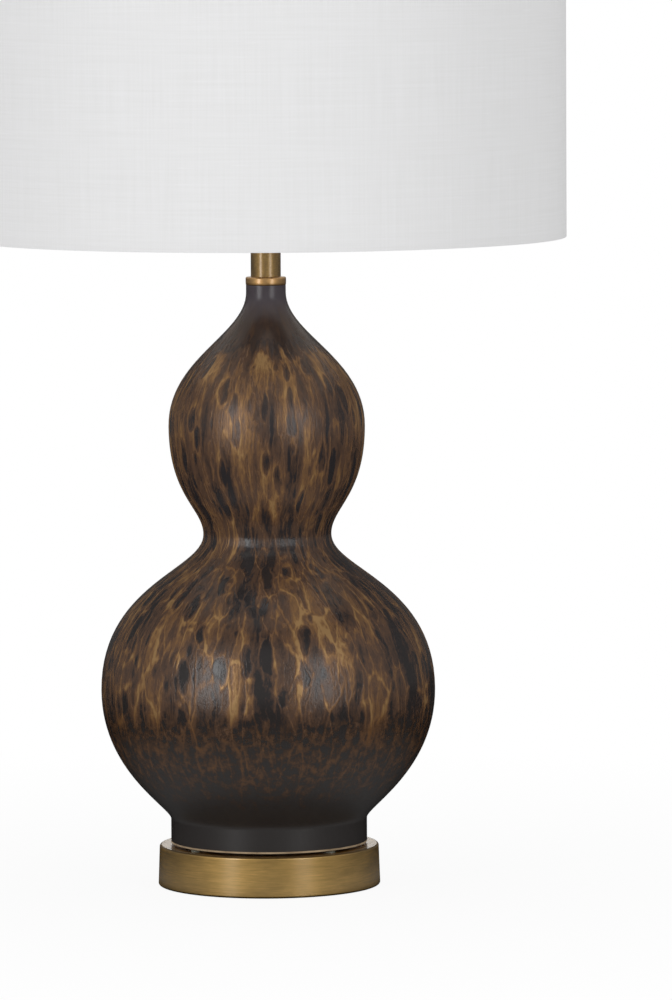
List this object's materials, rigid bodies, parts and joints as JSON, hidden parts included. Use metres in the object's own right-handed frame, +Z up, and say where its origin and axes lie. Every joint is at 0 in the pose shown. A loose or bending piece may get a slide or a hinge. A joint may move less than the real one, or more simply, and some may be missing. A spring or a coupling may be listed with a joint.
{
  "type": "table lamp",
  "caption": "Table lamp: black and bronze drip-glazed double gourd on a round brass base, with harp, screw bulb, turn knob and white linen drum shade.",
  "frame": {"origin": "centre of the underside of the base, on the surface that the lamp stands on", "axes": "+Z up through the lamp pipe, -Y to the front, +X to the side of the switch knob"},
  "size_m": [0.4064, 0.4062, 0.7326],
  "materials": {
    "foam": "closed-cell foam, matt",
    "fibreboard": "pressed board",
    "iron": "rough cast, painted",
    "antique_brass": "brushed antique brass, lacquered",
    "bright_brass": "drawn and polished brass",
    "zinc_steel": "zinc plated",
    "harp_steel": "brass-plated steel wire",
    "grommet_plastic": "moulded nylon",
    "clear_bumper": "clear soft plastic",
    "drip_glaze": "satin black and bronze drip glaze on stoneware",
    "fibre_paper": "insulating fibre",
    "phenolic": "moulded phenolic",
    "shell_aluminium": "pressed aluminium",
    "cap_aluminium": "rolled aluminium",
    "solder": "solder",
    "black_glass": "pressed black glass",
    "frosted_glass": "soft white frosted",
    "linen": "white linen weave",
    "styrene": "white laminate sheet",
    "white_wire": "white powder coat"
  },
  "bodies": {
    "root": {"base_pad": "foam", "base_cover": "fibreboard", "base_weight": "iron", "base_shell": "antique_brass", "cord_grommet": "grommet_plastic", "threaded_pipe": "zinc_steel", "pipe_nut": "zinc_steel", "lock_washer": "zinc_steel", "plate_washer": "zinc_steel", "foot_pads": "clear_bumper", "gourd_body": "drip_glaze", "neck_collar": "antique_brass", "neck_tube": "antique_brass", "tube_cap": "antique_brass", "harp_saddle": "harp_steel", "saddle_nut": "bright_brass", "socket_cap": "bright_brass", "cap_set_screw": "zinc_steel", "socket_shell": "bright_brass", "socket_liner": "fibre_paper", "socket_core": "phenolic", "terminal_screws": "bright_brass", "screw_shell": "shell_aluminium", "centre_contact": "bright_brass"},
    "knob": {"switch_spindle": "bright_brass", "switch_knob": "phenolic"},
    "bulb_seat": {"bulb_eyelet": "solder"},
    "bulb": {"bulb_insulator": "black_glass", "bulb_cap": "cap_aluminium", "bulb_glass": "frosted_glass"},
    "harp": {"harp": "harp_steel"},
    "sleeve_front": {"harp_sleeve_front": "bright_brass"},
    "sleeve_rear": {"harp_sleeve_rear": "bright_brass"},
    "seat": {"harp_stud": "harp_steel"},
    "shade": {"shade_linen": "linen", "shade_liner": "styrene", "shade_top_ring": "white_wire", "shade_bottom_ring": "white_wire", "spider_arms": "white_wire", "spider_washer": "white_wire"},
    "finial": {"finial": "antique_brass"}
  },
  "joints": [
    {"name": "knob_turn", "type": "hinge", "parent": "root", "child": "knob", "pos_m": [0.0192, 0, 0.5161], "axis": [1, 0, 0], "continuous": true},
    {"name": "bulb_rise", "type": "slide", "parent": "root", "child": "bulb_seat", "axis": [0, 0, 1], "range_m": [0, 0.0218]},
    {"name": "bulb_turn", "type": "hinge", "parent": "bulb_seat", "child": "bulb", "pos_m": [0, 0, 0.55], "axis": [0, 0, 1], "range_deg": [0, 2160]},
    {"name": "harp_lift", "type": "slide", "parent": "root", "child": "harp", "axis": [0, 0, 1], "range_m": [0, 0.02]},
    {"name": "sleeve_front_lift", "type": "slide", "parent": "harp", "child": "sleeve_front", "axis": [0, 0, 1], "range_m": [0, 0.01]},
    {"name": "sleeve_rear_lift", "type": "slide", "parent": "harp", "child": "sleeve_rear", "axis": [0, 0, 1], "range_m": [0, 0.01]},
    {"name": "shade_turn", "type": "hinge", "parent": "harp", "child": "seat", "pos_m": [0, 0, 0.7], "axis": [0, 0, 1], "continuous": true},
    {"name": "shade_lift", "type": "slide", "parent": "seat", "child": "shade", "axis": [0, 0, 1], "range_m": [0, 0.04]},
    {"name": "finial_turn", "type": "hinge", "parent": "shade", "child": "finial", "pos_m": [0, 0, 0.72], "axis": [0, 0, 1], "continuous": true}
  ],
  "couplings": [
    {"joint": "bulb_rise", "follows": "bulb_turn", "m_per_rad": 0.00057751}
  ]
}
